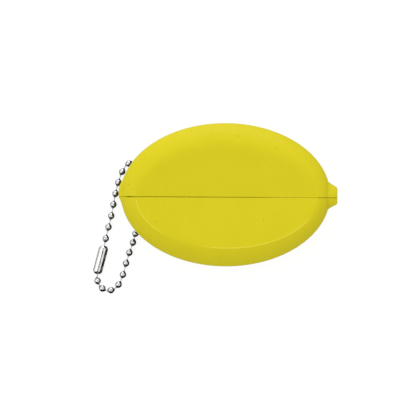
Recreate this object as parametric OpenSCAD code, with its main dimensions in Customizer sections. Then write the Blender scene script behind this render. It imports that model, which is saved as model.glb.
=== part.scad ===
// Squeeze coin purse: an oval soft vinyl pouch with a slit across its front, and a ball chain
// threaded through two holes in its back. It lies on its back with the slit up: +X runs along
// the slit to the tab, +Y across it, +Z up, and the origin is the middle of the back's flat.

/* [Pouch] */
// Length of the oval, along the slit
pouch_l = 73.6; // [68:0.1:80]
// Width of the oval, across the slit
pouch_w = 50.4; // [47:0.1:56]
// Height of the crest round the front panel
pouch_h = 14; // [13:0.1:16]
// Height of the widest line of the side
waist_h = 8.4; // [7.6:0.1:9]
// Thickness of the side, the shoulder and the lips
wall = 1.8; // [1.4:0.1:2]
// Thickness of the back
back_wall = 2; // [1.6:0.1:2.4]

/* [Back] */
// Length of the flat that the pouch rests on
flat_l = 40; // [34:0.5:44]
// Width of the flat that the pouch rests on
flat_w = 24; // [20:0.5:28]
// Length of the crowned back, out to where the side turns up
crown_l = 63; // [60:0.1:65]
// Width of the crowned back
crown_w = 39; // [37:0.1:41]
// Rise of the crowned back at its edge
crown_rise = 4.2; // [3.9:0.1:4.6]

/* [Front] */
// Length of the front panel, between the crests at its ends
panel_l = 63.6; // [60:0.1:65]
// Width of the front panel
panel_w = 36.8; // [34:0.1:39]
// Place of the panel's middle along the slit
panel_x = 0.4; // [-1:0.1:1]
// Place of the slit across the oval
slit_y = -0.9; // [-1.5:0.1:1.5]
// Width of the closed slit
slit_gap = 0.35; // [0.3:0.05:0.6]
// How far each slit edge draws back from its outer to its inner face, to clear as the lips open
slit_draft = 0.15; // [0.1:0.05:0.4]
// Depth of the valley that the lips make at the slit
valley = 1.1; // [0.6:0.1:2]
// Gap at the living hinge between the shell and each lip
hinge_gap = 0.3; // [0.25:0.05:0.5]
// Height above the widest line at which the slit ends in the shoulders
slit_end_h = 1.2; // [0.8:0.1:2]

/* [End tab and point] */
// Reach of the tab past the oval
tab_reach = 2.5; // [1.5:0.1:4]
// Width of the tab at its tip
tab_tip_w = 5.7; // [4.5:0.1:7]
// Width of the tab at its root
tab_root_w = 8.8; // [7.5:0.1:11]
// Thickness of the tab
tab_t = 5; // [4:0.1:6]
// Rounding of the tab's corners
tab_r = 0.8; // [0.5:0.1:1]
// Place of the tab across the oval
tab_y = -0.6; // [-2:0.1:2]
// Reach of the cut-off point at the other end past the oval
point_reach = 0.8; // [0.5:0.1:2]
// Width of the cut-off point's flat end
point_tip_w = 3.4; // [2:0.1:5]
// Width of the point at its root
point_root_w = 12; // [9:0.1:14]
// Thickness of the point
point_t = 4; // [3:0.1:5]
// Rounding of the point's corners
point_r = 0.5; // [0.3:0.1:0.8]
// Place of the point across the oval
point_y = 0.7; // [-1.5:0.1:1.5]

/* [Chain holes] */
// Distance of the two holes from the pointed end of the oval
hole_in = 9.8; // [9.2:0.1:10.4]
// Diameter of each hole
hole_d = 3.6; // [3.4:0.1:4]
// Width of vinyl left between the holes, which holds the chain
strap_w = 7; // [6.4:0.1:7.4]

/* [Ball chain] */
// Diameter of a bead
bead_d = 2.4; // [2.3:0.01:2.5]
// Thickness of a bead's wall
bead_wall = 0.2; // [0.18:0.01:0.22]
// Diameter of the hole at each pole of a bead
bead_hole_d = 0.54; // [0.5:0.01:0.56]
// Diameter of a link's shank
link_d = 0.34; // [0.3:0.01:0.36]
// Diameter of the head at each end of a link
head_d = 0.6; // [0.57:0.01:0.64]
// Length of a link between the centres of its heads
link_l = 2.79; // [2.7:0.01:2.88]
// Clearance of a link's head in a bead
play = 0.02; // [0.01:0.01:0.04]
// Drop from one bead to the next where the chain comes down out of a hole
hole_drop = 2.9; // [2.8:0.05:3.2]

/* [Connector] */
// Length of the rolled connector
conn_l = 10.4; // [9.6:0.1:11.5]
// Diameter of the connector
conn_d = 3.4; // [3.3:0.05:3.8]
// Thickness of its sheet
conn_wall = 0.25; // [0.2:0.01:0.3]
// Width of the slot down its side
conn_slot = 0.8; // [0.7:0.05:1]
// Diameter of the mouth at each end
conn_mouth_d = 1.7; // [1.6:0.05:1.9]
// Rounding of its ends
conn_round = 1; // [0.6:0.05:1.2]
// Clearance between an end bead and the end of the sleeve
conn_play = 0.1; // [0.05:0.01:0.15]
// Direction in which the slot faces, in degrees from straight up
slot_turn = 20; // [0:5:90]

/* [Hidden] */
seg = 80;
crown_steps = 5;
lower_steps = 5;
upper_steps = 8;
lip_cols = 40;
lip_rows = 5;
crown_power = 1.3;
lower_start = 35;
upper_end = 68;
lip_corner = 0.5;
strap_play = 0.25;
floor_play = 0.12;
inside_draw = 0.98;

vinyl = [0.85, 0.79, 0.13];
nickel = [0.80, 0.81, 0.82];

taut_pitch = link_l + bead_d - 2 * bead_wall - head_d - 2 * play;
conn_end_in = conn_wall + bead_d / 2 + conn_play;
conn_span = conn_l - 2 * conn_end_in;
conn_lift = (conn_d / bead_d - 1) / 2;
// The middle of a bead's hole, along its axis
function hole_edge(r) = sqrt(r * r - bead_hole_d * bead_hole_d / 4);
pole_r = (hole_edge(bead_d / 2) + hole_edge(bead_d / 2 - bead_wall)) / 2;

// The loop as it lies, one row for each step from the upper hole round to the lower one:
// heading in degrees, distance between the beads as a share of the taut one, and how high off
// the table the bead lies, in bead diameters
loop_run = [
    [104, 0.94, 0.29], [135, 0.894, 0], [183.5, 0.91, 0], [231, 0.894, 0],
    [250.5, 0.977, 0], [256, 0.98, 0], [259.5, 0.943, 0], [259.5, 0.978, 0],
    [256.5, 0.981, 0], [257, 1, 0], [257.5, 0.988, conn_lift], [255.5, 1, conn_lift],
    [268.5, 0.947, 0.08], [302.5, 0.757, 0], [349, 0.747, 0], [36.5, 0.796, 0],
    [66.5, 0.932, 0], [75, 1, 0], [73, 0.953, 0], [71, 0.914, 0],
    [74.5, 0.786, 0], [61, 0.845, 0], [57, 0.781, 0.29], [66.5, 0.904, 0]
];
conn_step = 11;

// Back of the pouch
function mix(a, b, t) = a + (b - a) * t;
function crown_level(t) = crown_rise * pow(t, crown_power);
function crown_half(size, crown, t, inset) = mix(size, crown, t) / 2 - inset * t;
function crown_t(x, y, inset = 0, lo = 0, hi = 1, n = 18) =
    let (t = (lo + hi) / 2)
    let (a = crown_half(flat_l, crown_l, t, inset), b = crown_half(flat_w, crown_w, t, inset))
    n == 0 ? t
    : pow(x / a, 2) + pow(y / b, 2) > 1
        ? crown_t(x, y, inset, t, hi, n - 1)
        : crown_t(x, y, inset, lo, t, n - 1);
function back_z(x, y) = crown_level(crown_t(x, y));
function floor_z(x, y) = crown_level(crown_t(x, y, wall / 2)) + back_wall;
function floor_slope(x, y) = (floor_z(x - play, y) - floor_z(x + play, y)) / (2 * play);

// Places of the holes and of the four beads that they hold
hole_x = hole_in - pouch_l / 2;
hole_y = (strap_w + hole_d) / 2;
inside_y = inside_draw * taut_pitch / 2;
inside_lean = norm([1, floor_slope(hole_x, inside_y)]);
inside_z = floor_z(hole_x, inside_y) + (bead_d / 2 + floor_play) * inside_lean;
hole_z = back_z(hole_x, hole_y) + back_wall / 2 + strap_play;

// Places of the beads
function run_height(k) =
    let (from_hole = min(k + 1, steps - 1 - k))
    max(bead_d * (0.5 + loop_run[k][2]), hole_z - from_hole * hole_drop);
function step_length(k) =
    k == conn_step ? conn_span : taut_pitch * loop_run[k][1];
function run_step(k) =
    let (dz = run_height(k) - (k == 0 ? hole_z : run_height(k - 1)))
    let (level = sqrt(pow(step_length(k), 2) - dz * dz))
    [level * cos(loop_run[k][0]), level * sin(loop_run[k][0]), dz];
upper_hole_bead = [hole_x, hole_y, hole_z];
lower_hole_bead = [hole_x, -hole_y, hole_z];
steps = len(loop_run);
open_run = [
    for (k = 0, p = upper_hole_bead; k <= steps; p = k < steps ? p + run_step(k) : p, k = k + 1) p
];
// What the headings leave open is shared out evenly, so that the loop closes
misclose = lower_hole_bead - open_run[steps];
closed_run = [for (k = [0:steps]) open_run[k] + misclose * k / steps];
beads = concat([[hole_x, inside_y, inside_z]], closed_run, [[hole_x, -inside_y, inside_z]]);
bead_count = len(beads);
conn_bead = conn_step + 1;
link_ids = [for (k = [0:bead_count - 1]) if (k != conn_bead) k];

function unit(v) = v / norm(v);
function after(k) = (k + 1) % bead_count;
function before(k) = (k + bead_count - 1) % bead_count;
function bead_axis(k) = unit(unit(beads[after(k)] - beads[k]) + unit(beads[k] - beads[before(k)]));
function pole(k, side) = beads[k] + side * pole_r * bead_axis(k);

function two_digits(n) = str(n < 10 ? "0" : "", n);
function bead_name(k) = str("bead_", two_digits(k + 1));
function link_name(k) = str("link_", two_digits(k + 1));

// Rings of the pouch, each [half length, half width, middle x, middle y, height]
function crown_rings(raise, inset) = [
    for (i = [0:crown_steps]) let (t = i / crown_steps)
        [crown_half(flat_l, crown_l, t, inset), crown_half(flat_w, crown_w, t, inset),
         0, 0, crown_level(t) + raise]
];
function lower_rings(raise, inset, side_in) = [
    for (i = [1:lower_steps])
        let (a = mix(lower_start, 90, i / lower_steps))
        let (out = (sin(a) - sin(lower_start)) / (1 - sin(lower_start)))
        let (up = 1 - cos(a) / cos(lower_start))
        [mix(crown_l / 2 - inset, pouch_l / 2 - side_in, out),
         mix(crown_w / 2 - inset, pouch_w / 2 - side_in, out),
         0, 0, mix(crown_rise + raise, waist_h, up)]
];
function upper_rings(side_in, top) = [
    for (i = [1:upper_steps])
        let (a = upper_end * i / upper_steps)
        let (in = (1 - cos(a)) / (1 - cos(upper_end)), up = sin(a) / sin(upper_end))
        [mix(pouch_l / 2 - side_in, panel_l / 2, in), mix(pouch_w / 2 - side_in, panel_w / 2, in),
         panel_x * in, slit_y * in, mix(waist_h, top, up)]
];
function reversed(list) = [for (i = [len(list) - 1:-1:0]) list[i]];
function ring_points(r) = [
    for (i = [0:seg - 1]) [r[2] + r[0] * cos(360 * i / seg), r[3] + r[1] * sin(360 * i / seg), r[4]]
];

// A closed skin over a row of rings, capped at both ends
module loft(rings) {
    n = len(rings);
    points = concat(
        [for (r = rings) each ring_points(r)],
        [[rings[0][2], rings[0][3], rings[0][4]], [rings[n - 1][2], rings[n - 1][3], rings[n - 1][4]]]
    );
    sides = [
        for (j = [0:n - 2], i = [0:seg - 1])
            let (a = j * seg + i, b = j * seg + (i + 1) % seg)
            each [[a, a + seg, b + seg], [a, b + seg, b]]
    ];
    caps = [
        for (i = [0:seg - 1])
            let (k = (i + 1) % seg, top = (n - 1) * seg)
            each [[n * seg, i, k], [n * seg + 1, top + k, top + i]]
    ];
    polyhedron(points, concat(sides, caps), convexity = 6);
}

function oval_x(y) = pouch_l / 2 * sqrt(1 - pow(2 * y / pouch_w, 2));

module pouch_body() {
    outer = concat(crown_rings(0, 0), lower_rings(0, 0, 0), upper_rings(0, pouch_h));
    inner = concat(
        crown_rings(back_wall, wall / 2),
        lower_rings(back_wall, wall / 2, wall),
        upper_rings(wall, pouch_h - wall)
    );
    loft(concat(outer, reversed(inner)));
}

// The pocket grown to the middle of the wall, which cuts off the roots of the tab and the point
module mid_wall() {
    loft(concat(
        crown_rings(back_wall / 2, 0),
        lower_rings(back_wall / 2, 0, wall / 2),
        upper_rings(wall / 2, pouch_h - wall / 2)
    ));
}

// A slab with rounded edges that tapers from its root on the oval out to its tip
module end_slab(root_w, tip_w, tip_x, y, thick, round) {
    edge_x = oval_x(root_w / 2 + abs(y));
    root_x = edge_x - 2 * wall;
    spread = (root_w - tip_w) / 2 * (tip_x - root_x) / (tip_x - edge_x);
    hull()
        for (up = [-1, 1], side = [-1, 1]) {
            lift = waist_h + up * (thick / 2 - round);
            translate([root_x, y + side * (tip_w / 2 + spread - round), lift])
                sphere(round, $fn = 24);
            translate([tip_x - round, y + side * (tip_w / 2 - round), lift])
                sphere(round, $fn = 24);
        }
}

module end_tab() {
    end_slab(tab_root_w, tab_tip_w, pouch_l / 2 + tab_reach, tab_y, tab_t, tab_r);
}

module end_point() {
    mirror([1, 0, 0])
        end_slab(point_root_w, point_tip_w, pouch_l / 2 + point_reach, point_y, point_t, point_r);
}

module slit_cut() {
    reach = pouch_l / 2 + tab_reach + point_reach;
    bottom = waist_h + slit_end_h;
    translate([-reach, slit_y - slit_gap / 2, bottom])
        cube([2 * reach, slit_gap, pouch_h - bottom + 1]);
}

module chain_holes() {
    for (side = [-1, 1])
        translate([hole_x, side * hole_y, -1]) cylinder(h = waist_h + 1, d = hole_d, $fn = 48);
}

module pouch_shell() {
    color(vinyl)
        difference() {
            union() {
                pouch_body();
                difference() {
                    union() {
                        end_tab();
                        end_point();
                    }
                    mid_wall();
                }
            }
            slit_cut();
            chain_holes();
        }
}

// Half of the front panel, from the slit out to its rim
module lip() {
    a = panel_l / 2 - hinge_gap;
    b = panel_w / 2 - hinge_gap;
    first = asin((slit_gap / 2 + slit_draft + lip_corner) / b);
    rows = lip_rows + 1;
    side = (lip_cols + 1) * rows;
    points = [
        for (face = [[slit_gap / 2, 0], [slit_gap / 2 + slit_draft, wall]])
            for (i = [0:lip_cols], j = [0:lip_rows])
                let (t = mix(first, 180 - first, i / lip_cols))
                let (y = mix(face[0], b * sin(t), j / lip_rows))
                [a * cos(t), y, pouch_h - valley * (sin(t) - y / b) - face[1]]
    ];
    skins = [
        for (i = [0:lip_cols - 1], j = [0:lip_rows - 1])
            let (p = i * rows + j, q = p + rows)
            each [
                [p, q + 1, p + 1], [p, q, q + 1],
                [side + p, side + p + 1, side + q + 1], [side + p, side + q + 1, side + q]
            ]
    ];
    long_edges = [
        for (i = [0:lip_cols - 1], j = [0, lip_rows])
            let (p = i * rows + j, q = p + rows)
            each j == 0
                ? [[p, side + p, side + q], [p, side + q, q]]
                : [[p, side + q, side + p], [p, q, side + q]]
    ];
    short_edges = [
        for (i = [0, lip_cols], j = [0:lip_rows - 1])
            let (p = i * rows + j, q = p + 1)
            each i == 0
                ? [[p, side + q, side + p], [p, q, side + q]]
                : [[p, side + p, side + q], [p, side + q, q]]
    ];
    polyhedron(points, concat(skins, long_edges, short_edges), convexity = 4);
}

module upper_lip() {
    color(vinyl) translate([panel_x, slit_y, 0]) lip();
}

module lower_lip() {
    color(vinyl) translate([panel_x, slit_y, 0]) mirror([0, 1, 0]) lip();
}

// Turns what is drawn along +Z to a direction
module aim(v) {
    rotate([0, acos(v[2] / norm(v)), atan2(v[1], v[0])]) children();
}

module bead(k) {
    color(nickel)
        translate(beads[k])
            aim(bead_axis(k))
                difference() {
                    sphere(d = bead_d, $fn = 40);
                    sphere(d = bead_d - 2 * bead_wall, $fn = 40);
                    cylinder(h = bead_d + 1, d = bead_hole_d, center = true, $fn = 24);
                }
}

module link(k) {
    from = pole(k, 1);
    to = pole(after(k), -1);
    color(nickel)
        translate((from + to) / 2)
            aim(to - from) {
                cylinder(h = link_l, d = link_d, center = true, $fn = 20);
                for (side = [-1, 1])
                    translate([0, 0, side * link_l / 2]) sphere(d = head_d, $fn = 24);
            }
}

// Half profile of the connector's sheet, rolled round its own axis
module conn_profile(grow) {
    r = conn_d / 2 + grow;
    half = conn_l / 2 + grow;
    round = conn_round + grow;
    intersection() {
        square([r, 2 * half]);
        union() {
            square([r, half - round]);
            square([r - round, half]);
            translate([r - round, half - round]) circle(round, $fn = 40);
        }
    }
}

module connector() {
    from = beads[conn_bead];
    to = beads[after(conn_bead)];
    color(nickel)
        translate((from + to) / 2)
            rotate([0, 0, atan2(to[1] - from[1], to[0] - from[0])])
                rotate([slot_turn, 0, 0])
                    rotate([0, 90, 0])
                        difference() {
                            rotate_extrude($fn = 60) {
                                for (flip = [0, 1])
                                    mirror([0, flip])
                                        difference() {
                                            conn_profile(0);
                                            conn_profile(-conn_wall);
                                            square([conn_mouth_d / 2, conn_l]);
                                        }
                            }
                            translate([-conn_d, -conn_slot / 2, -conn_l])
                                cube([conn_d, conn_slot, 2 * conn_l]);
                        }
}

pouch_shell();
upper_lip();
lower_lip();
connector();
for (k = [0:bead_count - 1])
    bead(k);
for (k = link_ids)
    link(k);
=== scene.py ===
"""Oval squeeze coin purse of soft yellow vinyl, with a nickel ball chain through its back.

The purse lies on its back with the slit up. +X runs along the slit to the end tab, +Y across
it and +Z up. Sizes are written in millimetres and turned into metres as each mesh is made.
"""

import math

import bpy
import numpy as np
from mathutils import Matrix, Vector


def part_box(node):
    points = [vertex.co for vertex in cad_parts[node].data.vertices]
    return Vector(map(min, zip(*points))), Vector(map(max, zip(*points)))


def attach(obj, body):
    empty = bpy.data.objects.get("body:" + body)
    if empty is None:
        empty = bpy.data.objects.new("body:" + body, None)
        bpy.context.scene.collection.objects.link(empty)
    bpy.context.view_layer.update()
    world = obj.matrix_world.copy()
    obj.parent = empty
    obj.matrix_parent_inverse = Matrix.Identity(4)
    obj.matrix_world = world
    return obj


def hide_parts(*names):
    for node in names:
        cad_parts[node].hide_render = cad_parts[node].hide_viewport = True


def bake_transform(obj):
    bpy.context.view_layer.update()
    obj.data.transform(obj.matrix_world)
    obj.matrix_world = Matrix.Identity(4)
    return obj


MM = 0.001
SHARP_ANGLE = math.radians(48)

# The moulding
POUCH_L, POUCH_W, POUCH_H = 73.6, 50.4, 14.0
WAIST_H = 8.4
WALL, BACK_WALL = 1.8, 2.0
FLAT_L, FLAT_W = 40.0, 24.0
CROWN_L, CROWN_W = 63.0, 39.0
CROWN_RISE, CROWN_POWER = 4.2, 1.3
LOWER_START, UPPER_END = math.radians(35), math.radians(68)
PANEL_L, PANEL_W = 63.6, 36.8
PANEL_X, SLIT_Y = 0.4, -0.9
LOWER_PANEL_W = 35.8
VALLEY = 1.1

# The front panel's rim: how far its bend is rounded, plain and where the crease shows, and the
# bend as a change of slope. The crease: its fine ridge, and its two stretches in degrees, each
# with its start, its fade in, its stop and its fade out.
RIM_R, CREASE_R, RIM_BEND = 2.0, 0.5, 0.27
RIDGE_H, RIDGE_HALF_W = 0.06, 0.16
CREASES = [(181, 5, 232, 14), (252, 10, 338, 8)]

# The slit
SLIT_GAP = 0.17
SLIT_DRAFT = 0.15
SLIT_EDGE_R = 0.2
GROOVE_DEPTH = 1.3
SLIT_BOTTOM = WAIST_H + 1.2
GROOVE_OUT, GROOVE_SIDE, GROOVE_START = 0.05, 0.08, 0.5
# On half of its width: a gape at the left end, a pinch beyond it, and how much tighter it gets
# from each place on, each with its place, its length and its amount. The last one eases it.
GAPE_X, GAPE_L, GAPE = -33.6, 1.2, 0.065
PINCH_X, PINCH = -34.4, 0.07
TIGHT = 0.01
TIGHTER = [(-8, 6, 0.02), (12, 6, 0.04), (29, 3, -0.015)]

# The end tab and the cut-off point
TAB_TIP_X, TAB_Y = 39.3, -0.1
TAB_TIP_W, TAB_ROOT_W, TAB_T = 6.1, 9.0, 6.0
TAB_CORNERS, TAB_FILLET, TAB_CROWN = (0.8, 1.6), 1.9, 0.65
POINT_TIP_X, POINT_Y = 37.6, 0.7
POINT_TIP_W, POINT_ROOT_W, POINT_T = 3.4, 12.0, 4.0
POINT_CORNER, POINT_FILLET, POINT_CROWN = 0.5, 0.35, 0.2
SLAB_INSIDE, SLAB_SQUARENESS, SLAB_FALL = 8, 7, 3

# The lips, in lengths: their ends along the slit and how far each end opens
LIP_ENDS = [-31.8, -14.0, -9.0, -4.0, 4.0, 9.0, 14.0, 31.8]
LIP_LIFTS = [0.0, 0.725, 0.9, 1.0, 1.0, 0.9, 0.725, 0.0]
LIP_LEAST_Y = 0.06
EDGE_TURNS = (0, 22.5, 45, 67.5, 90)
EDGE_DEPTH = 0.2
# Near the corners: the most of the way from the slit's middle to the rim that its edge and its
# inner edge take, and the most of the lip's width that its rounding takes
CORNER_EDGE, CORNER_INNER_EDGE, CORNER_ROUND = 0.8, 0.9, 0.02

# The two punched holes
HOLE_X, HOLE_Y, HOLE_D = -27.0, 5.3, 3.6
PUNCH_L, PUNCH_Z = 12, 2

# The ball chain
BEAD_D, BEAD_WALL, BEAD_HOLE_D = 2.4, 0.2, 0.54
BEAD_HOLE_DEPTH, BEAD_NECK_H = 0.25, 0.32
# How much darker the beads and the links are all over; the beads also get painted shade towards
# their holes and necks
BEAD_DARKENING, LINK_DARKENING = 0.2, 0.15
LINK_D, HEAD_D, LINK_L = 0.34, 0.6, 2.79
CONN_L, CONN_D, CONN_WALL = 10.4, 3.4, 0.25
CONN_SLOT, CONN_MOUTH_D, CONN_ROUND = 0.34, 1.7, 1.35
CONN_TURN = math.radians(3)
CONN_LEAST_R, CONN_EDGE_R, CONN_EDGE_ANGLE = 0.4, 0.05, math.radians(50)
BEADS_IN_BODY = {
    "pouch": [1, 2, 3, 4, 5, 6, 23, 24, 25, 26, 27],
    "chain_near": [7, 8, 22],
    "chain_upper": [9, 10, 21],
    "chain_lower": [11, 12, 20],
    "chain_end": [13, 14, 15, 16, 17, 18, 19],
}
LINKS_IN_BODY = {
    "pouch": [27, 1, 2, 3, 4, 5, 6, 22, 23, 24, 25, 26],
    "chain_near": [7, 8, 21],
    "chain_upper": [9, 10, 20],
    "chain_lower": [11, 12, 19],
    "chain_end": [14, 15, 16, 17, 18],
}
BEAD_COUNT = 27
CONNECTOR_AFTER = 13

# The picture: 416 pixels square
PICTURE_W = 416
MM_PER_PIXEL = 0.3516
ORIGIN_PIXEL = (225.45, 194.62)
ROLL = math.radians(-0.33)
CAMERA_FAR = 2000.0
SENSOR = 36.0


# Small helpers


def mix(a, b, t):
    return a + (b - a) * t


def smooth(t):
    t = np.clip(t, 0.0, 1.0)
    return t * t * (3 - 2 * t)


def soft_max(a, b, radius):
    """The larger of a and b, with a fillet of about that radius where they meet."""
    h = np.clip(0.5 + 0.5 * (b - a) / radius, 0.0, 1.0)
    return mix(a, b, h) + radius * h * (1 - h)


def soft_min(a, b, radius):
    return -soft_max(-a, -b, radius)


def mesh_object(name, points, faces):
    """A smooth mesh from points in millimetres and faces of point numbers."""
    mesh = bpy.data.meshes.new(name)
    mesh.from_pydata((np.asarray(points) * MM).tolist(), [], faces)
    mesh.update()
    mesh.polygons.foreach_set("use_smooth", [True] * len(mesh.polygons))
    if faces:
        mesh.set_sharp_from_angle(angle=SHARP_ANGLE)
    obj = bpy.data.objects.new(name, mesh)
    bpy.context.scene.collection.objects.link(obj)
    return obj


def grid_faces(rows, cols, first=0, closed=True, flip=False):
    """Faces over a grid of points numbered row by row."""
    faces = []
    last = cols if closed else cols - 1
    for r in range(rows - 1):
        for c in range(last):
            d = (c + 1) % cols
            quad = [first + r * cols + c, first + r * cols + d,
                    first + (r + 1) * cols + d, first + (r + 1) * cols + c]
            faces.append(quad[::-1] if flip else quad)
    return faces


def point_attribute(obj, name, values):
    attribute = obj.data.attributes.new(name, "FLOAT", "POINT")
    attribute.data.foreach_set("value", np.asarray(values, np.float32))


def apply_modifier(obj, modifier):
    """Turns the object's evaluated shape into its mesh and drops the modifier."""
    graph = bpy.context.evaluated_depsgraph_get()
    made = bpy.data.meshes.new_from_object(obj.evaluated_get(graph), depsgraph=graph)
    obj.modifiers.remove(modifier)
    made.name = obj.data.name
    obj.data = made


# Shader building blocks


def new_group(name, inputs, outputs):
    """A shader node group with its named sockets, and its two end nodes."""
    group = bpy.data.node_groups.new(name, "ShaderNodeTree")
    for label, kind, value in inputs:
        socket = group.interface.new_socket(name=label, in_out="INPUT", socket_type=kind)
        if value is not None:
            socket.default_value = value
    for label, kind in outputs:
        group.interface.new_socket(name=label, in_out="OUTPUT", socket_type=kind)
    start = group.nodes.new("NodeGroupInput")
    end = group.nodes.new("NodeGroupOutput")
    return group, start, end


def open_socket(sockets, name):
    """The one in use of the sockets that share a name."""
    return next(s for s in sockets if s.enabled and s.name == name)


def feed(tree, slot, value):
    """Links another node's socket to the slot, or sets the slot to a plain value."""
    if isinstance(value, bpy.types.NodeSocket):
        tree.links.new(value, slot)
    else:
        slot.default_value = value


def math_node(tree, operation, a, b=None):
    node = tree.nodes.new("ShaderNodeMath")
    node.operation = operation
    feed(tree, node.inputs[0], a)
    if b is not None:
        feed(tree, node.inputs[1], b)
    return node.outputs[0]


def weighted_sum(tree, a, a_share, b, b_share):
    return math_node(tree, "ADD", math_node(tree, "MULTIPLY", a, a_share),
                     math_node(tree, "MULTIPLY", b, b_share))


def noise_node(tree, vector, scale, detail, rough):
    node = tree.nodes.new("ShaderNodeTexNoise")
    node.inputs["Detail"].default_value = detail
    node.inputs["Roughness"].default_value = rough
    tree.links.new(scale, node.inputs["Scale"])
    tree.links.new(vector, node.inputs["Vector"])
    return node.outputs["Fac"]


def ramp_node(tree, value, low, high, start=0.0, stop=1.0):
    node = tree.nodes.new("ShaderNodeMapRange")
    node.inputs["From Min"].default_value = low
    node.inputs["From Max"].default_value = high
    node.inputs["To Min"].default_value = start
    node.inputs["To Max"].default_value = stop
    tree.links.new(value, node.inputs["Value"])
    return node.outputs["Result"]


def mix_colours(tree, factor, a, b):
    node = tree.nodes.new("ShaderNodeMix")
    node.data_type = "RGBA"
    for label, value in (("Factor", factor), ("A", a), ("B", b)):
        colour = (*value, 1.0) if isinstance(value, tuple) else value
        feed(tree, open_socket(node.inputs, label), colour)
    return next(s for s in node.outputs if s.enabled)


def place_group(tree, group, **values):
    node = tree.nodes.new("ShaderNodeGroup")
    node.node_tree = group
    for label, value in values.items():
        feed(tree, node.inputs[label.replace("_", " ")], value)
    return node


def make_mottle_group():
    """Cloudy and fine unevenness of a surface, as two masks around one half."""
    group, start, end = new_group(
        "mottle",
        [("Position", "NodeSocketVector", None), ("Cloud Scale", "NodeSocketFloat", 90.0),
         ("Fine Scale", "NodeSocketFloat", 1600.0)],
        [("Clouds", "NodeSocketFloat"), ("Fine", "NodeSocketFloat")],
    )
    clouds = noise_node(group, start.outputs["Position"], start.outputs["Cloud Scale"], 4.0, 0.55)
    fine = noise_node(group, start.outputs["Position"], start.outputs["Fine Scale"], 2.0, 0.6)
    group.links.new(clouds, end.inputs["Clouds"])
    group.links.new(fine, end.inputs["Fine"])
    return group


def make_specks_group():
    """Small scattered specks, one mask that is 1 inside a speck."""
    group, start, end = new_group(
        "specks",
        [("Position", "NodeSocketVector", None), ("Scale", "NodeSocketFloat", 120.0),
         ("Radius", "NodeSocketFloat", 0.03), ("Share", "NodeSocketFloat", 0.1)],
        [("Mask", "NodeSocketFloat")],
    )
    cells = group.nodes.new("ShaderNodeTexVoronoi")
    group.links.new(start.outputs["Position"], cells.inputs["Vector"])
    group.links.new(start.outputs["Scale"], cells.inputs["Scale"])
    inside = math_node(group, "LESS_THAN", cells.outputs["Distance"], start.outputs["Radius"])
    split = group.nodes.new("ShaderNodeSeparateColor")
    group.links.new(cells.outputs["Color"], split.inputs[0])
    chosen = math_node(group, "LESS_THAN", split.outputs[0], start.outputs["Share"])
    group.links.new(math_node(group, "MULTIPLY", inside, chosen), end.inputs["Mask"])
    return group


def make_scratches_group():
    """Fine short scratches in all directions, one mask."""
    group, start, end = new_group(
        "scratches",
        [("Position", "NodeSocketVector", None), ("Scale", "NodeSocketFloat", 400.0)],
        [("Mask", "NodeSocketFloat")],
    )
    stretch = group.nodes.new("ShaderNodeMapping")
    stretch.inputs["Rotation"].default_value = (0.4, 0.9, 0.7)
    stretch.inputs["Scale"].default_value = (1.0, 0.08, 1.0)
    group.links.new(start.outputs["Position"], stretch.inputs["Vector"])
    streaks = noise_node(group, stretch.outputs[0], start.outputs["Scale"], 3.0, 0.65)
    group.links.new(ramp_node(group, streaks, 0.58, 0.7), end.inputs["Mask"])
    return group


def empty_material(name):
    material = bpy.data.materials.new(name)
    material.use_nodes = True
    material.node_tree.nodes.clear()
    return material, material.node_tree


def set_surface(tree, shader):
    out = tree.nodes.new("ShaderNodeOutputMaterial")
    tree.links.new(shader.outputs[0], out.inputs["Surface"])


def attribute_mask(tree, name):
    """A mesh's own mask, such as its pale crease line (stress whitening and painted highlight) or
    its painted shade and darkening.
    """
    node = tree.nodes.new("ShaderNodeAttribute")
    node.attribute_name = name
    return node.outputs["Fac"]


def new_material(name):
    """A material of one plain shader, and the place on the piece for its patterns."""
    material, tree = empty_material(name)
    shader = tree.nodes.new("ShaderNodeBsdfPrincipled")
    set_surface(tree, shader)
    place = tree.nodes.new("ShaderNodeTexCoord").outputs["Object"]
    return material, tree, shader, place


def add_bump(tree, shader, height, distance, strength):
    bump = tree.nodes.new("ShaderNodeBump")
    bump.inputs["Strength"].default_value = strength
    bump.inputs["Distance"].default_value = distance
    tree.links.new(height, bump.inputs["Height"])
    tree.links.new(bump.outputs[0], shader.inputs["Normal"])


VINYL = (0.660, 0.572, 0.0085)
VINYL_DEEP = (0.632, 0.545, 0.0080)
# Paler crease colour: stress whitening and a painted highlight along the lower crease's ridge
VINYL_STRESS_AND_HIGHLIGHT = (0.78, 0.70, 0.06)
VINYL_DIRT = (0.36, 0.31, 0.015)
VINYL_IN_METAL = (0.06, 0.06, 0.055)


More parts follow.
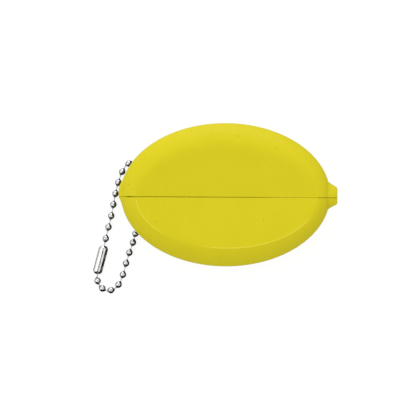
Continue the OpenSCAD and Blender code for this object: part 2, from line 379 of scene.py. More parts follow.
def make_vinyl(mottle, specks):
    """Satin moulded vinyl: cloudy colour, a paler crease line that is stress whitening and a
    painted highlight on the lower crease's ridge, a few specks.

    The metal beside it shows it as plain dark grey, so the chain stays neutral.
    """
    material, tree, shader, place = new_material("yellow_vinyl")
    uneven = place_group(tree, mottle, Position=place)
    clouds, fine = uneven.outputs["Clouds"], uneven.outputs["Fine"]
    tone = ramp_node(tree, weighted_sum(tree, clouds, 0.5, fine, 0.5), 0.38, 0.65)
    colour = mix_colours(tree, tone, VINYL, VINYL_DEEP)
    # Painted highlight, with stress whitening, along the ridge of the lower crease
    crease = math_node(tree, "MULTIPLY", attribute_mask(tree, "crease"), 0.8)
    colour = mix_colours(tree, crease, colour, VINYL_STRESS_AND_HIGHLIGHT)
    dots = place_group(tree, specks, Position=place, Scale=160.0, Radius=0.045, Share=0.9)
    speck = math_node(tree, "MULTIPLY", dots.outputs["Mask"], 0.6)
    colour = mix_colours(tree, speck, colour, VINYL_DIRT)
    path = tree.nodes.new("ShaderNodeLightPath")
    in_metal = math_node(tree, "MULTIPLY", path.outputs["Is Glossy Ray"], 0.9)
    tree.links.new(mix_colours(tree, in_metal, colour, VINYL_IN_METAL), shader.inputs["Base Color"])
    tree.links.new(ramp_node(tree, clouds, 0.3, 0.7, 0.40, 0.52), shader.inputs["Roughness"])
    add_bump(tree, shader, weighted_sum(tree, clouds, 0.6, fine, 0.3), 0.00012, 0.5)
    shader.inputs["IOR"].default_value = 1.47
    shader.inputs["Specular IOR Level"].default_value = 0.15
    return material


NICKEL = (0.76, 0.76, 0.74)
NICKEL_DULL = (0.42, 0.42, 0.40)
NICKEL_DARK = (0.035, 0.035, 0.04)


def make_nickel(mottle, scratches):
    """Polished nickel plate with hairline scratches and a little tarnish, painted darker where its
    mesh says: painted shade at the beads' holes and necks, and a little darker all over the beads
    and links.
    """
    material, tree, shader, place = new_material("bright_nickel")
    uneven = place_group(tree, mottle, Position=place, Cloud_Scale=700.0, Fine_Scale=5000.0)
    clouds, fine = uneven.outputs["Clouds"], uneven.outputs["Fine"]
    worn = place_group(tree, scratches, Position=place, Scale=2500.0)
    tarnish = ramp_node(tree, clouds, 0.5, 0.75, 0.0, 0.5)
    colour = mix_colours(tree, tarnish, NICKEL, NICKEL_DULL)
    # Painted shade at the beads' holes and necks, and a little darker all over the beads and links
    colour = mix_colours(tree, attribute_mask(tree, "shade_and_darkening"), colour, NICKEL_DARK)
    tree.links.new(colour, shader.inputs["Base Color"])
    rough = math_node(tree, "ADD", ramp_node(tree, fine, 0.3, 0.7, 0.06, 0.13),
                      math_node(tree, "MULTIPLY", worn.outputs["Mask"], 0.15))
    tree.links.new(rough, shader.inputs["Roughness"])
    add_bump(tree, shader, clouds, 0.00002, 0.6)
    shader.inputs["Metallic"].default_value = 1.0
    return material


# The pouch's skin


def flat_ring(t):
    """Ring of the flat under the back. A ring is its two half axes, its centre and its height."""
    return FLAT_L / 2 * t, FLAT_W / 2 * t, 0.0, 0.0, 0.0


def crown_ring(t, raise_by=0.0, inset=0.0):
    """Ring of the curved back between its flat (0) and its edge (1)."""
    return (mix(FLAT_L, CROWN_L, t) / 2 - inset * t, mix(FLAT_W, CROWN_W, t) / 2 - inset * t,
            0.0, 0.0, CROWN_RISE * t ** CROWN_POWER + raise_by)


def lower_ring(z, raise_by=0.0, inset=0.0, side_in=0.0):
    """Ring of the lower shoulder at a height between the crown's edge and the waist."""
    up = (z - CROWN_RISE - raise_by) / (WAIST_H - CROWN_RISE - raise_by)
    angle = math.acos(min(1.0, (1 - up) * math.cos(LOWER_START)))
    out = (math.sin(angle) - math.sin(LOWER_START)) / (1 - math.sin(LOWER_START))
    return (mix(CROWN_L / 2 - inset, POUCH_L / 2 - side_in, out),
            mix(CROWN_W / 2 - inset, POUCH_W / 2 - side_in, out), 0.0, 0.0, z)


def upper_ring(z, side_in=0.0, top=POUCH_H):
    """Ring of the upper shoulder at a height between the waist and the panel's rim."""
    angle = math.asin(min(1.0, (z - WAIST_H) / (top - WAIST_H) * math.sin(UPPER_END)))
    t = (1 - math.cos(angle)) / (1 - math.cos(UPPER_END))
    return (mix(POUCH_L / 2 - side_in, PANEL_L / 2, t), mix(POUCH_W / 2 - side_in, PANEL_W / 2, t),
            PANEL_X * t, SLIT_Y * t, z)


def ring_points(ring, turns):
    """Points of a ring. The rows at its two ends follow the slit, not the ring's own axis."""
    a, b, x, y, z = ring
    lean = math.asin((SLIT_Y - y) / b) if b > 1 else 0.0
    th = turns + lean * np.cos(turns)
    return np.stack([x + a * np.cos(th), y + b * np.sin(th), np.full_like(th, z)], axis=-1)


def column_turns():
    """Angles of the columns round the oval: close together at both ends, for tab and slit."""
    near = [0.0, 0.03, 0.055, 0.08, 0.105, 0.13, 0.16, 0.2, 0.26, 0.36]
    near += list(np.arange(0.5, 7.2, 0.17))
    end = [y / (PANEL_W / 2 + 2.5) for y in near]
    side = list(np.linspace(end[-1], math.pi - end[-1], 150)[1:-1])
    half = end + side + [math.pi - e for e in reversed(end[1:])]
    return np.array(half + [math.pi + e for e in half])


def oval_x(y):
    return POUCH_L / 2 * math.sqrt(1 - (2 * y / POUCH_W) ** 2)


def end_slab(p, end, tip_x, centre_y, tip_w, root_w, thick, corner, fillet, crown):
    """Draws one end of the skin outwards into a flat slab that tapers to its tip."""
    x, y, z = p[..., 0] * end, p[..., 1], p[..., 2]
    away = np.abs(y - centre_y)
    root_x = oval_x(root_w / 2 + abs(centre_y))
    taper = (tip_x - root_x) / ((root_w - tip_w) / 2)
    flank = tip_x - (away - tip_w / 2) * taper - SLAB_FALL * np.clip(away - root_w / 2, 0.0, None)
    reach = soft_min(np.full_like(y, tip_x), flank, corner)
    inside = root_x - SLAB_INSIDE
    crowned = thick / 2 * (1 - crown * np.clip(away / (root_w / 2), 0.0, 1.0) ** 2)
    part = np.clip(np.abs(z - WAIST_H) / crowned, 0.0, 1.0)
    rounded = (1 - part ** SLAB_SQUARENESS) ** (1 / SLAB_SQUARENESS)
    slab = inside + (reach - inside) * rounded
    near = (x > inside + 1) & (away < root_w / 2 + 2)
    p[..., 0] = end * np.where(near, soft_max(x, slab, fillet), x)
    return p


def add_ends(p):
    """Draws the tab out of the right end of the skin and the cut-off point out of the left."""
    tab_corner = mix(*TAB_CORNERS, smooth((p[..., 1] - TAB_Y) / 2 + 0.5))
    p = end_slab(p, 1, TAB_TIP_X, TAB_Y, TAB_TIP_W, TAB_ROOT_W, TAB_T,
                 tab_corner, TAB_FILLET, TAB_CROWN)
    return end_slab(p, -1, POINT_TIP_X, POINT_Y, POINT_TIP_W, POINT_ROOT_W, POINT_T,
                    POINT_CORNER, POINT_FILLET, POINT_CROWN)


def panel_distance(x, y):
    """Distance outwards from the front panel's rim, less than 0 on the panel."""
    a, b = PANEL_L / 2, PANEL_W / 2
    u, v = (x - PANEL_X) / a, (y - SLIT_Y) / b
    r = np.sqrt(u * u + v * v) + 1e-9
    slope = np.sqrt((u / a) ** 2 + (v / b) ** 2) / r + 1e-9
    return (r - 1) / slope


def crease_strength(x, y):
    """Where the lower crease shows as a fine pale ridge: strong, fading and strong again."""
    turn = np.degrees(np.arctan2((y - SLIT_Y) / PANEL_W, (x - PANEL_X) / PANEL_L)) % 360
    return np.maximum(*[smooth((turn - start) / fade_in) * smooth((stop - turn) / fade_out)
                        for start, fade_in, stop, fade_out in CREASES])


def ridge(x, y, height=1.0):
    """The crease's fine ridge: its height along its line where it shows, and 0 away from it."""
    d = panel_distance(x, y)
    return height * np.exp(-((d / RIDGE_HALF_W) ** 2)) * crease_strength(x, y)


def round_crease(p):
    """Rounds the rim of the panel, tight where the lower crease shows, and adds its fine ridge."""
    x, y = p[..., 0], p[..., 1]
    radius = mix(RIM_R, CREASE_R, crease_strength(x, y))
    bend = np.clip(radius - np.abs(panel_distance(x, y)), 0.0, None)
    p[..., 2] -= RIM_BEND * bend * bend / (4 * radius)
    p[..., 2] += ridge(x, y, RIDGE_H)
    return p


def draw_in_lower(p):
    """Draws the lower half of the front a little towards the slit. The waist stays as it is."""
    share = smooth((p[..., 2] - WAIST_H) / (POUCH_H - VALLEY - WALL - WAIST_H))
    scale = mix(1.0, LOWER_PANEL_W / PANEL_W, share)
    below = p[..., 1] < SLIT_Y
    p[..., 1] = np.where(below, SLIT_Y + (p[..., 1] - SLIT_Y) * scale, p[..., 1])
    return p


def slit_half_gap(x):
    """Half of the slit's width along it: it gapes at its left end and closes towards its right."""
    gape = GAPE * np.exp(-(((x - GAPE_X) / GAPE_L) ** 2)) - PINCH * smooth((PINCH_X - x) / GAPE_L)
    tight = TIGHT
    for start, length, amount in TIGHTER:
        tight = tight + amount * smooth((x - start) / length)
    return SLIT_GAP / 2 + gape - tight


def skin_normals(p):
    """Normals of a closed grid of points, from its rows and columns."""
    along = np.roll(p, -1, axis=1) - np.roll(p, 1, axis=1)
    up = np.gradient(p, axis=0)
    n = np.cross(along, up)
    return n / (np.linalg.norm(n, axis=-1, keepdims=True) + 1e-12)


def cut_groove(p):
    """Presses the ends of the slit into the shoulders and along the top of the tab."""
    n = skin_normals(p)
    x, y, z = p[..., 0], p[..., 1], p[..., 2]
    half = slit_half_gap(x)
    across = smooth((half + GROOVE_OUT - np.abs(y - SLIT_Y)) / GROOVE_SIDE)
    depth = GROOVE_DEPTH * across * smooth((z - SLIT_BOTTOM) / GROOVE_START)
    return p - n * depth[..., None]


def row_heights(low, high, count, clusters):
    """Heights of rows from low to high, evenly spread, with close rows at the slabs' edges."""
    rows = list(np.linspace(low, high, count))
    for thick in clusters:
        for part in (0.8, 0.9, 0.95, 0.98, 0.993, 0.999, 1.0, 1.04, 1.1, 1.18):
            for sign in (-1, 1):
                z = WAIST_H + sign * part * thick / 2
                if low < z < high:
                    rows.append(z)
    rows = sorted(rows)
    return [z for i, z in enumerate(rows) if i == 0 or z - rows[i - 1] > 1e-3]


def outer_rows():
    """Rings of the outside, from the middle of the back up to the panel's rim."""
    rings = [flat_ring(t) for t in (0.12, 0.3, 0.5, 0.7, 0.85, 0.95, 1.0)]
    rings += [crown_ring(t) for t in np.linspace(0, 1, 16)[1:]]
    rings += [lower_ring(z) for z in row_heights(CROWN_RISE, WAIST_H, 18, (TAB_T, POINT_T))[1:]]
    rings += [upper_ring(z) for z in row_heights(WAIST_H, 13.3, 24, (TAB_T, POINT_T))[1:]]
    near_rim = [13.4, 13.5, 13.6, 13.68, 13.75, 13.81, 13.86, 13.9, 13.93, 13.96, 13.98, 14.0]
    return rings + [upper_ring(z) for z in near_rim]


def inner_rows():
    """Rings of the inside, from the middle of the back up to the panel's rim."""
    a, b, *place = crown_ring(0.0, BACK_WALL)
    rings = [(a * share, b * share, *place) for share in (0.15, 0.5, 0.85, 1)]
    rings += [crown_ring(t, BACK_WALL, WALL / 2) for t in np.linspace(0, 1, 8)[1:]]
    rings += [lower_ring(z, BACK_WALL, WALL / 2, WALL)
              for z in np.linspace(CROWN_RISE + BACK_WALL, WAIST_H, 6)[1:]]
    top = POUCH_H - WALL
    return rings + [upper_ring(z, WALL, top) for z in np.linspace(WAIST_H, top, 9)[1:]]


def make_pouch_skin():
    """Back, sides, shoulders, tab and point as one closed wall round the coin pocket."""
    turns = column_turns()
    outer = np.stack([ring_points(r, turns) for r in outer_rows()])
    outer = cut_groove(round_crease(add_ends(outer)))
    inner = np.stack([ring_points(r, turns) for r in inner_rows()])
    cols = len(turns)
    rows_out, rows_in = len(outer), len(inner)
    points = np.concatenate([outer.reshape(-1, 3), inner[::-1].reshape(-1, 3),
                             [[0, 0, 0], [0, 0, BACK_WALL]]])
    faces = grid_faces(rows_out + rows_in, cols)
    low, high = len(points) - 2, len(points) - 1
    last = (rows_out + rows_in - 1) * cols
    for c in range(cols):
        d = (c + 1) % cols
        faces.append([low, d, c])
        faces.append([high, last + c, last + d])
    outside = points[:, 2] > POUCH_H - VALLEY
    # Mask of the pale crease line: stress whitening and a painted highlight on the ridge
    pale = ridge(points[:, 0], points[:, 1]) * outside
    skin = mesh_object("pouch_skin", draw_in_lower(points), faces)
    point_attribute(skin, "crease", pale)
    return skin


def punch_holes(skin):
    """Cuts the chain's two holes through the back."""
    for side in (-1, 1):
        bpy.ops.mesh.primitive_cylinder_add(
            vertices=48, radius=HOLE_D / 2 * MM, depth=PUNCH_L * MM,
            location=(HOLE_X * MM, side * HOLE_Y * MM, PUNCH_Z * MM))
        punch = bpy.context.object
        cut = skin.modifiers.new("punch", "BOOLEAN")
        cut.operation, cut.solver, cut.object = "DIFFERENCE", "EXACT", punch
        apply_modifier(skin, cut)
        bpy.data.objects.remove(punch)


def lip_columns(turns, left, right):
    """Columns of one length of a lip, from its right end round to its left end."""
    least = math.asin(LIP_LEAST_Y / (PANEL_W / 2))
    ends = [math.acos(min(1.0, max(-1.0, x / (PANEL_L / 2)))) for x in (right, left)]
    low, high = max(least, ends[0]), min(math.pi - least, ends[1])
    inside = turns[(turns > low + 1e-4) & (turns < high - 1e-4)]
    return np.concatenate([[low], inside, [high]])


def lip_profile():
    """Places from the rim (0) to the slit (1), close together at both."""
    rim = [0, 0.003, 0.006, 0.009, 0.013, 0.018, 0.025, 0.034, 0.045, 0.06, 0.08, 0.1, 0.12]
    return rim + list(np.linspace(0.15, 0.94, 22)) + [0.96, 0.975]


def make_lip(side, number, material):
    """One length of a lip: its front, its rounded slit edge and its inner face."""
    turns = lip_columns(column_turns(), *LIP_ENDS[number:number + 2])
    a, b = PANEL_L / 2, PANEL_W / 2
    x = a * np.cos(turns)
    rim_y = b * np.sin(turns)
    edge = np.minimum(slit_half_gap(x + PANEL_X), rim_y * CORNER_EDGE)
    rows = []

    def level(y):
        return POUCH_H - VALLEY * (np.sin(turns) - y / b)

    for v in lip_profile():
        y = mix(rim_y, edge, v)
        rows.append(np.stack([x, y, level(y)], axis=-1))
    round_in = np.minimum(SLIT_EDGE_R, (rim_y - edge) * CORNER_ROUND)
    for turn in EDGE_TURNS:
        s, c = math.sin(math.radians(turn)), math.cos(math.radians(turn))
        y = edge + round_in * (1 - s)
        rows.append(np.stack([x, y, level(y) - round_in * (1 - c)], axis=-1))
    inner_edge = np.minimum(edge + SLIT_DRAFT, rim_y * CORNER_INNER_EDGE)
    for v in (0.4, 0.8, 1.0):
        y = mix(edge, inner_edge, v)
        rows.append(np.stack([x, y, level(y) - WALL * mix(EDGE_DEPTH, 1.0, v)], axis=-1))
    for v in (0.1, 0.3, 0.5, 0.7, 0.85, 1.0):
        y = mix(inner_edge, rim_y, v)
        rows.append(np.stack([x, y, level(y) - WALL], axis=-1))
    p = np.stack(rows)
    p[..., 0] += PANEL_X
    p[..., 1] = SLIT_Y + side * p[..., 1]
    front = len(lip_profile()) + len(EDGE_TURNS)
    p[:front] = round_crease(p[:front])
    count, cols = p.shape[:2]
    faces = grid_faces(count, cols, closed=False, flip=side < 0)
    for c in range(cols - 1):
        quad = [(count - 1) * cols + c, (count - 1) * cols + c + 1, c + 1, c]
        faces.append(quad if side > 0 else quad[::-1])
    first_end = [r * cols for r in range(count)]
    last_end = [r * cols + cols - 1 for r in range(count)]
    faces.append(first_end[::-1] if side < 0 else first_end)
    faces.append(last_end if side < 0 else last_end[::-1])
    name = ("upper" if side > 0 else "lower") + f"_lip_{number + 1}"
    flat = p.reshape(-1, 3)
    shown = np.arange(len(flat)) < front * cols
    # Mask of the pale crease line: stress whitening and a painted highlight on the ridge
    pale = ridge(flat[:, 0], flat[:, 1])
    lip = mesh_object(name, draw_in_lower(flat), faces)
    point_attribute(lip, "crease", pale * shown)
    lip.data.materials.append(material)
    return lip


def hang_lip(lip, side):
    """Bakes the lip's place into its mesh and hides the CAD lip that it stands in for."""
    body = "upper_lip" if side > 0 else "lower_lip"
    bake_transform(lip)
    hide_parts(body)


# The ball chain


def node_centre(name):
    low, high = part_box(name)
    return np.array((low + high) / 2) / MM


def unit(v):
    return v / np.linalg.norm(v)


def chain_points():
    """Centre and axis of every bead, in the order of the loop."""
    centres = [node_centre(f"bead_{n:02d}") for n in range(1, BEAD_COUNT + 1)]
    axes = [unit(unit(centres[(k + 1) % BEAD_COUNT] - c) + unit(c - centres[k - 1]))
            for k, c in enumerate(centres)]
    return centres, axes


def make_bead_chain_tree():
    """Geometry nodes that set a pressed bead or a headed link on each point of a mesh."""
    tree = bpy.data.node_groups.new("bead_chain", "GeometryNodeTree")
    sockets = {}
    wanted = [("Points", "NodeSocketGeometry"), ("Bead Diameter", "NodeSocketFloat"),
              ("Hole Depth", "NodeSocketFloat"), ("Neck Height", "NodeSocketFloat"),
              ("Link Diameter", "NodeSocketFloat"), ("Link Length", "NodeSocketFloat"),
              ("Head Diameter", "NodeSocketFloat"), ("Metal", "NodeSocketMaterial")]
    for label, kind in wanted:
        socket = tree.interface.new_socket(name=label, in_out="INPUT", socket_type=kind)
        sockets[label] = socket.identifier
    tree.interface.new_socket(name="Chain", in_out="OUTPUT", socket_type="NodeSocketGeometry")
    start, end = tree.nodes.new("NodeGroupInput"), tree.nodes.new("NodeGroupOutput")
    new, link = tree.nodes.new, tree.links.new

    def calc(operation, a, b=None):
        return math_node(tree, operation, a, b)

    def attribute(name, kind):
        node = new("GeometryNodeInputNamedAttribute")
        node.data_type = kind
        node.inputs["Name"].default_value = name
        return open_socket(node.outputs, "Attribute")

    # Stores how much darker the metal is painted here: painted shade at the poles and an even
    # darkening
    def with_shade_and_darkening(shape, value):
        node = new("GeometryNodeStoreNamedAttribute")
        node.data_type, node.domain = "FLOAT", "POINT"
        node.inputs["Name"].default_value = "shade_and_darkening"
        link(shape, node.inputs["Geometry"])
        feed(tree, open_socket(node.inputs, "Value"), value)
        return node.outputs[0]

    radius = calc("MULTIPLY", start.outputs["Bead Diameter"], 0.5)
    ball = new("GeometryNodeMeshUVSphere")
    ball.inputs["Segments"].default_value = 32
    ball.inputs["Rings"].default_value = 24
    link(radius, ball.inputs["Radius"])
    place = new("GeometryNodeInputPosition")
    apart = new("ShaderNodeSeparateXYZ")
    link(place.outputs[0], apart.inputs[0])
    height = calc("DIVIDE", calc("ABSOLUTE", apart.outputs[2]), radius)
    neck = calc("MULTIPLY", calc("POWER", height, 16.0), start.outputs["Neck Height"])
    hole = calc("MULTIPLY", calc("GREATER_THAN", height, 0.98), start.outputs["Hole Depth"])
    shift = calc("MULTIPLY", calc("SIGN", apart.outputs[2]), calc("SUBTRACT", neck, hole))
    offset = new("ShaderNodeCombineXYZ")
    link(shift, offset.inputs[2])
    # Darker towards each pole as painted shade in its hole and neck, and never less than the beads'
    # even darkening
    shade_and_darkening = calc("MAXIMUM", calc("POWER", height, 4.0), BEAD_DARKENING)
    bead = new("GeometryNodeSetPosition")
    link(with_shade_and_darkening(ball.outputs[0], shade_and_darkening), bead.inputs["Geometry"])
    link(offset.outputs[0], bead.inputs["Offset"])

    shank = new("GeometryNodeMeshCylinder")
    shank.inputs["Vertices"].default_value = 14
    link(calc("MULTIPLY", start.outputs["Link Diameter"], 0.5), shank.inputs["Radius"])
    link(start.outputs["Link Length"], shank.inputs["Depth"])
    head = new("GeometryNodeMeshUVSphere")
    head.inputs["Segments"].default_value = 14
    head.inputs["Rings"].default_value = 8
    link(calc("MULTIPLY", start.outputs["Head Diameter"], 0.5), head.inputs["Radius"])
    dumbbell = new("GeometryNodeJoinGeometry")
    # The links are a little darker all over
    link(with_shade_and_darkening(shank.outputs[0], LINK_DARKENING), dumbbell.inputs[0])
    for sign in (0.5, -0.5):
        up = new("ShaderNodeCombineXYZ")
        link(calc("MULTIPLY", start.outputs["Link Length"], sign), up.inputs[2])
        moved = new("GeometryNodeTransform")
        link(head.outputs[0], moved.inputs["Geometry"])
        link(up.outputs[0], moved.inputs["Translation"])
        link(moved.outputs[0], dumbbell.inputs[0])

    turn = new("FunctionNodeAlignRotationToVector")
    turn.axis = "Z"
    link(attribute("axis", "FLOAT_VECTOR"), turn.inputs["Vector"])
    is_link = attribute("is_link", "FLOAT")
    both = new("GeometryNodeJoinGeometry")
    for shape, test in ((bead, "LESS_THAN"), (dumbbell, "GREATER_THAN")):
        copies = new("GeometryNodeInstanceOnPoints")
        link(start.outputs["Points"], copies.inputs["Points"])
        link(calc(test, is_link, 0.5), copies.inputs["Selection"])
        link(shape.outputs[0], copies.inputs["Instance"])
        link(turn.outputs[0], copies.inputs["Rotation"])
        link(copies.outputs[0], both.inputs[0])
    solid = new("GeometryNodeRealizeInstances")
    link(both.outputs[0], solid.inputs[0])
    smooth_faces = new("GeometryNodeSetShadeSmooth")
    link(solid.outputs[0], smooth_faces.inputs[0])
    dressed = new("GeometryNodeSetMaterial")
    link(smooth_faces.outputs[0], dressed.inputs["Geometry"])
    link(start.outputs["Metal"], dressed.inputs["Material"])
    link(dressed.outputs[0], end.inputs[0])
    return tree, sockets


def make_chain_length(body, tree, sockets, metal):
    """The beads and links that one body carries, as one mesh."""
    centres, axes = chain_points()
    outer, inner = [math.sqrt(r ** 2 - (BEAD_HOLE_D / 2) ** 2)
                    for r in (BEAD_D / 2, BEAD_D / 2 - BEAD_WALL)]
    pole = (outer + inner) / 2
    points = [centres[n - 1] for n in BEADS_IN_BODY[body]]
    along = [axes[n - 1] for n in BEADS_IN_BODY[body]]
    kind = [0.0] * len(points)
    for n in LINKS_IN_BODY[body]:
        k, after = n - 1, n % BEAD_COUNT
        start = centres[k] + pole * axes[k]
        stop = centres[after] - pole * axes[after]
        points.append((start + stop) / 2)
        along.append(unit(stop - start))
        kind.append(1.0)
    name = "ball_chain_" + body.replace("chain_", "")
    chain = mesh_object(name, points, [])
    point_attribute(chain, "is_link", kind)
    vectors = chain.data.attributes.new("axis", "FLOAT_VECTOR", "POINT")
    vectors.data.foreach_set("vector", np.array(along, np.float32).ravel())
    modifier = chain.modifiers.new("beads", "NODES")
    modifier.node_group = tree
    values = {"Bead Diameter": BEAD_D * MM, "Hole Depth": BEAD_HOLE_DEPTH * MM,
              "Neck Height": BEAD_NECK_H * MM,
              "Link Diameter": LINK_D * MM, "Link Length": LINK_L * MM,
              "Head Diameter": HEAD_D * MM, "Metal": metal}
    for label, value in values.items():
        modifier[sockets[label]] = value
    apply_modifier(chain, modifier)
    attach(chain, body)
    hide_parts(*[f"bead_{n:02d}" for n in BEADS_IN_BODY[body]],
                *[f"link_{n:02d}" for n in LINKS_IN_BODY[body]])


def connector_profile():
    """Half profile of the rolled sheet from end to end: place along it and radius."""
    half, r, round_r = CONN_L / 2, CONN_D / 2, CONN_ROUND
    mouth = CONN_MOUTH_D / 2
    top = [(half - round_r + round_r * math.sin(a), r - round_r + round_r * math.cos(a))
           for a in np.linspace(0, math.pi / 2, 12)]
    top = [q for q in top if q[1] > mouth] + [(half, mouth)]
    body = [(x, r) for x in np.linspace(0, half - round_r, 10)[:-1]]
    right = body + top
    return [(-x, y) for x, y in reversed(right[1:])] + right


def make_connector(metal):
    """A sheet rolled into a slotted sleeve, its ends drawn in round the end beads."""
    profile = np.array(connector_profile())
    slope = np.gradient(profile, axis=0)
    normal = np.stack([-slope[:, 1], slope[:, 0]], axis=-1)
    normal /= np.linalg.norm(normal, axis=1, keepdims=True)
    inner = profile - normal * CONN_WALL
    inner[:, 1] = np.maximum(inner[:, 1], CONN_LEAST_R)
    half_slot = CONN_SLOT / CONN_D
    turns = np.linspace(half_slot, 2 * math.pi - half_slot, 56)

    def turned(line):
        x, r = line[:, 0][:, None], line[:, 1][:, None]
        return np.stack([x + 0 * turns, -r * np.sin(turns), r * np.cos(turns)], axis=-1)

    skins = [turned(profile), turned(inner)]
    rows, cols = skins[0].shape[:2]
    points = np.concatenate([s.reshape(-1, 3) for s in skins])
    n = rows * cols
    faces = grid_faces(rows, cols, closed=False)
    faces += grid_faces(rows, cols, n, closed=False, flip=True)
    for r in range(rows - 1):
        a, b = r * cols, (r + 1) * cols
        faces.append([a, b, n + b, n + a])
        faces.append([b + cols - 1, a + cols - 1, n + a + cols - 1, n + b + cols - 1])
    for c in range(cols - 1):
        last = (rows - 1) * cols
        faces.append([c + 1, c, n + c, n + c + 1])
        faces.append([last + c, last + c + 1, n + last + c + 1, n + last + c])
    c, s = math.cos(-CONN_TURN), math.sin(-CONN_TURN)
    points = points @ np.array([[1, 0, 0], [0, c, s], [0, -s, c]])
    start, stop = [node_centre(f"bead_{n:02d}") for n in (CONNECTOR_AFTER, CONNECTOR_AFTER + 1)]
    heading = math.atan2(stop[1] - start[1], stop[0] - start[0])
    c, s = math.cos(heading), math.sin(heading)
    points = points @ np.array([[c, s, 0], [-s, c, 0], [0, 0, 1]]) + (start + stop) / 2
    sleeve = mesh_object("connector_sleeve", points, faces)
    bevel = sleeve.modifiers.new("edges", "BEVEL")
    bevel.width, bevel.segments, bevel.limit_method = CONN_EDGE_R * MM, 2, "ANGLE"
    bevel.angle_limit = CONN_EDGE_ANGLE
    apply_modifier(sleeve, bevel)
    sleeve.data.materials.append(metal)
    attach(sleeve, "connector")
    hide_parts("connector")


# The studio

WORLD_LIGHT = 0.88
# Each lamp: name, direction and elevation in degrees, watts and size in metres
LAMP_FAR = 1.8
LAMPS = [("soft_box_top", 90, 20, 10.4, 1.0), ("soft_box_left", 172, 48, 3.4, 0.6)]
# Each card: name, direction in degrees, width, bottom and top in millimetres, and grey tone
CARD_FAR = 600.0
CARDS = [("card_front", -97, 1300, -900, 600, 0.01), ("card_right", -25, 800, -900, 440, 0.01),
         ("card_corner", 42, 800, -900, 250, 0.02), ("card_left", 175, 1000, -900, -60, 0.4)]
FLOOR_HALF_W, FLOOR_Z = 3000.0, -0.05
FLOOR_WHITE, FLOOR_GLOW, FLOOR_GLOW_SHARE = 0.8, 1.1, 0.8


def make_camera():
    camera = bpy.data.objects.new("camera", bpy.data.cameras.new("camera"))
    bpy.context.scene.collection.objects.link(camera)
    middle = PICTURE_W / 2
    x = (middle - ORIGIN_PIXEL[0]) * MM_PER_PIXEL
    y = (ORIGIN_PIXEL[1] - middle) * MM_PER_PIXEL
    camera.location = (x * MM, y * MM, (CAMERA_FAR + WAIST_H) * MM)
    camera.rotation_euler = (0, 0, -ROLL)
    camera.data.sensor_width = SENSOR
    camera.data.lens = SENSOR * CAMERA_FAR / (PICTURE_W * MM_PER_PIXEL)
    camera.data.clip_start, camera.data.clip_end = 0.1, 10.0
    bpy.context.scene.camera = camera


def make_lamp(name, azimuth, elevation, watts, size):
    """A square soft box that faces the purse."""
    lamp = bpy.data.objects.new(name, bpy.data.lights.new(name, "AREA"))
    bpy.context.scene.collection.objects.link(lamp)
    lamp.data.shape, lamp.data.size, lamp.data.energy = "SQUARE", size, watts
    turn, lift = math.radians(azimuth), math.radians(elevation)
    level = math.cos(lift)
    away = Vector((math.cos(turn) * level, math.sin(turn) * level, math.sin(lift)))
    lamp.location = away * LAMP_FAR
    lamp.rotation_euler = away.to_track_quat("Z", "Y").to_euler()


def make_world():
    """White all round, a little dimmer where it lights the purse."""
    world = bpy.data.worlds.new("studio")
    bpy.context.scene.world = world
    world.use_nodes = True
    tree = world.node_tree
    back = tree.nodes["Background"]
    back.inputs["Color"].default_value = (1, 1, 1, 1)
    path = tree.nodes.new("ShaderNodeLightPath")
    lit = ramp_node(tree, path.outputs["Is Diffuse Ray"], 0.0, 1.0, 1.0, WORLD_LIGHT)
    tree.links.new(lit, back.inputs["Strength"])


def make_card(name, azimuth, width, bottom, top, tone):
    """A dark or grey card that stands out of the picture and shows only in polished metal."""
    turn = math.radians(azimuth)
    out = np.array([math.cos(turn), math.sin(turn), 0])
    along = np.array([-math.sin(turn), math.cos(turn), 0])
    low = out * CARD_FAR + np.array([0, 0, bottom])
    corners = [low - along * width / 2, low + along * width / 2]
    corners += [c + np.array([0, 0, top - bottom]) for c in reversed(corners)]
    card = mesh_object(name, corners, [[3, 2, 1, 0]])
    material, tree = empty_material(name)
    glow = tree.nodes.new("ShaderNodeEmission")
    glow.inputs["Color"].default_value = (tone, tone, tone, 1)
    set_surface(tree, glow)
    card.data.materials.append(material)
    card.visible_camera = card.visible_diffuse = card.visible_shadow = False


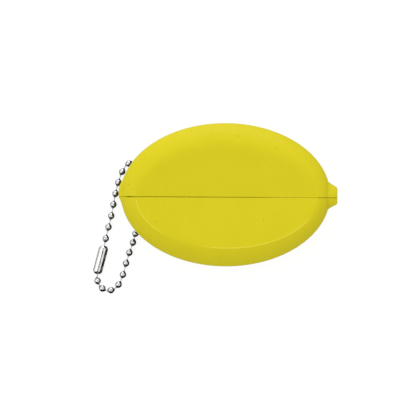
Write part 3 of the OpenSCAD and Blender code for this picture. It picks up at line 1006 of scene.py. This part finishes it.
def make_floor():
    """A white table top that keeps a soft shadow. Polished metal shows the white studio instead."""
    corners = [[x * FLOOR_HALF_W, y * FLOOR_HALF_W, FLOOR_Z]
               for x, y in ((-1, -1), (1, -1), (1, 1), (-1, 1))]
    floor = mesh_object("floor", corners, [[0, 1, 2, 3]])
    material, tree = empty_material("white_table")
    paper = tree.nodes.new("ShaderNodeBsdfDiffuse")
    paper.inputs["Color"].default_value = (FLOOR_WHITE, FLOOR_WHITE, FLOOR_WHITE, 1)
    glow = tree.nodes.new("ShaderNodeEmission")
    glow.inputs["Strength"].default_value = FLOOR_GLOW
    both = tree.nodes.new("ShaderNodeMixShader")
    set_surface(tree, both)
    path = tree.nodes.new("ShaderNodeLightPath")
    seen = math_node(tree, "ADD", path.outputs["Is Camera Ray"],
                     path.outputs["Is Transmission Ray"])
    tree.links.new(math_node(tree, "MULTIPLY", seen, FLOOR_GLOW_SHARE), both.inputs[0])
    tree.links.new(paper.outputs[0], both.inputs[1])
    tree.links.new(glow.outputs[0], both.inputs[2])
    floor.data.materials.append(material)
    floor.visible_glossy = False


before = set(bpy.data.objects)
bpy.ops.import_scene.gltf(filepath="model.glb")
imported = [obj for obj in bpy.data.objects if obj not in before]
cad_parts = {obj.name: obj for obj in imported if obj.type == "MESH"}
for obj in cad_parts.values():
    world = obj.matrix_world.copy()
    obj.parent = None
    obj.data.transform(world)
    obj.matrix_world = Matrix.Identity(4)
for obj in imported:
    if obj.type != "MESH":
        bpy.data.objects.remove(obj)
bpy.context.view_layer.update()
scene = bpy.context.scene
scene.view_settings.view_transform = "Standard"

make_camera()
make_world()
for lamp_facts in LAMPS:
    make_lamp(*lamp_facts)
make_floor()
for card_facts in CARDS:
    make_card(*card_facts)

mottle = make_mottle_group()
vinyl = make_vinyl(mottle, make_specks_group())
nickel = make_nickel(mottle, make_scratches_group())

pouch = make_pouch_skin()
punch_holes(pouch)
pouch.data.materials.clear()
pouch.data.materials.append(vinyl)
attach(pouch, "pouch")
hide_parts("pouch_shell")
for lip_side in (1, -1):
    for lip_number in range(len(LIP_LIFTS) - 1):
        hang_lip(make_lip(lip_side, lip_number, vinyl), lip_side)

chain_tree, chain_sockets = make_bead_chain_tree()
for chain_body in BEADS_IN_BODY:
    make_chain_length(chain_body, chain_tree, chain_sockets, nickel)
make_connector(nickel)
